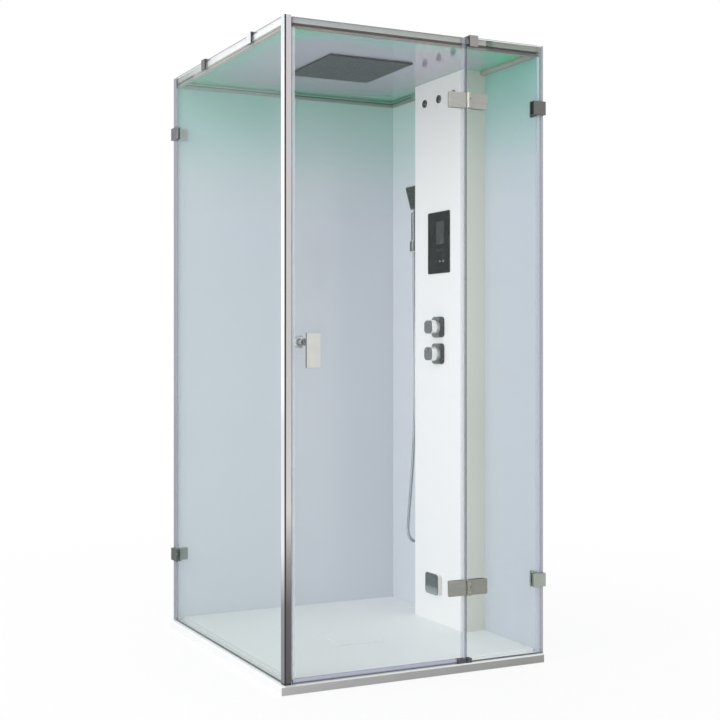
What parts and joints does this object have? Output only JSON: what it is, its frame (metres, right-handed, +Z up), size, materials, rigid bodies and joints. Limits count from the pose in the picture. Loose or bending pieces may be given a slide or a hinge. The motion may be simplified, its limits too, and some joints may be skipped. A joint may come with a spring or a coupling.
{
  "type": "steam shower cabin",
  "caption": "Square corner steam shower cabin with frameless glass sides, hinged glass door, low tray, ceiling rain shower, service column, hand shower and steam outlet.",
  "frame": {"origin": "centre of the tray's footprint, at floor level", "axes": "+X to the right along the front, towards the service column; +Y from the door to the back wall; +Z up"},
  "size_m": [1.0055, 1.037, 2.126],
  "materials": {
    "acrylic_white": "gloss",
    "apron_metal": "satin",
    "white_plastic": "satin",
    "steel": "brushed",
    "wall_panel": "gloss",
    "clear_glass": "gloss",
    "seal_grey": "satin",
    "seal_clear": "satin",
    "polished_profile": "polished",
    "satin_profile": "satin",
    "black_plastic": "satin",
    "ceiling_panel": "gloss",
    "cornice_dark": "satin",
    "led_diffuser": "gloss",
    "shower_dark": "satin",
    "column_white": "gloss",
    "black_glass": "gloss",
    "display": "gloss",
    "chrome": "polished",
    "brass": "satin",
    "hose_steel": "polished",
    "nickel": "brushed",
    "handle_satin": "satin",
    "shoe_grey": "satin"
  },
  "bodies": {
    "cabin": {"shower_tray": "acrylic_white", "tray_apron": "apron_metal", "waste_body": "white_plastic", "hair_strainer": "steel", "back_wall_panel": "wall_panel", "right_wall_panel": "wall_panel", "side_glass": "clear_glass", "front_fixed_glass": "clear_glass", "glass_floor_seals": "seal_grey", "corner_post": "polished_profile", "post_foot": "black_plastic", "roof_panel": "ceiling_panel", "roof_edge_profiles": "satin_profile", "ceiling_cornice": "cornice_dark", "led_strip": "led_diffuser", "rain_shower_plate": "shower_dark", "rain_shower_body": "steel", "rain_supply_pipe": "steel", "column_housing": "column_white", "control_glass": "black_glass", "display_window": "display", "control_module": "black_plastic", "jet_rings": "chrome", "mixer_escutcheon": "chrome", "diverter_escutcheon": "chrome", "valve_manifold": "brass", "supply_unions": "brass", "steam_generator": "steel", "steam_pipe": "steel", "steam_outlet_body": "column_white", "steam_outlet_cover": "chrome", "handset_holder": "chrome", "shower_hose": "hose_steel", "hose_elbow": "chrome", "fixed_shoe": "shoe_grey", "hinge_fixed_leaves": "nickel", "hinge_fixed_back_plates": "nickel", "hinge_pins": "steel", "wall_clamps_right": "nickel", "wall_clamps_back": "nickel", "roof_clamps_left": "nickel", "roof_clamp_front_edge": "nickel"},
    "door": {"door_glass": "clear_glass", "door_bottom_seal": "seal_clear", "door_strike_seal": "seal_clear", "door_shoe": "shoe_grey", "hinge_door_leaves": "nickel", "hinge_door_back_plates": "nickel", "handle_plate": "handle_satin", "handle_knob": "chrome"},
    "mixer": {"mixer_knob": "chrome"},
    "diverter": {"diverter_knob": "chrome"},
    "handset": {"handset_body": "chrome", "handset_face": "black_plastic", "hose_nut": "chrome"},
    "drain_lid": {"drain_cover": "acrylic_white"},
    "jet_front": {"jet_nozzle_front": "chrome"},
    "jet_middle": {"jet_nozzle_middle": "chrome"},
    "jet_back": {"jet_nozzle_back": "chrome"}
  },
  "joints": [
    {"name": "door_swing", "type": "hinge", "parent": "cabin", "child": "door", "pos_m": [0.191, -0.503, 1], "axis": [0, 0, 1], "range_deg": [0, 100]},
    {"name": "mixer_turn", "type": "hinge", "parent": "cabin", "child": "mixer", "pos_m": [0.36, -0.006, 1.159], "axis": [-1, 0, 0], "range_deg": [0, 100]},
    {"name": "diverter_turn", "type": "hinge", "parent": "cabin", "child": "diverter", "pos_m": [0.36, -0.006, 1.0585], "axis": [-1, 0, 0], "range_deg": [0, 90]},
    {"name": "handset_lift", "type": "slide", "parent": "cabin", "child": "handset", "axis": [0, 0, 1], "range_m": [0, 0.05]},
    {"name": "drain_lid_lift", "type": "slide", "parent": "cabin", "child": "drain_lid", "axis": [0, 0, 1], "range_m": [0, 0.04]},
    {"name": "jet_front_tilt", "type": "hinge", "parent": "cabin", "child": "jet_front", "pos_m": [0.397, -0.1055, 2.02], "axis": [0, 1, 0], "range_deg": [-12, 12]},
    {"name": "jet_middle_tilt", "type": "hinge", "parent": "cabin", "child": "jet_middle", "pos_m": [0.397, -0.008, 2.02], "axis": [0, 1, 0], "range_deg": [-12, 12]},
    {"name": "jet_back_tilt", "type": "hinge", "parent": "cabin", "child": "jet_back", "pos_m": [0.397, 0.0895, 2.02], "axis": [0, 1, 0], "range_deg": [-12, 12]}
  ]
}
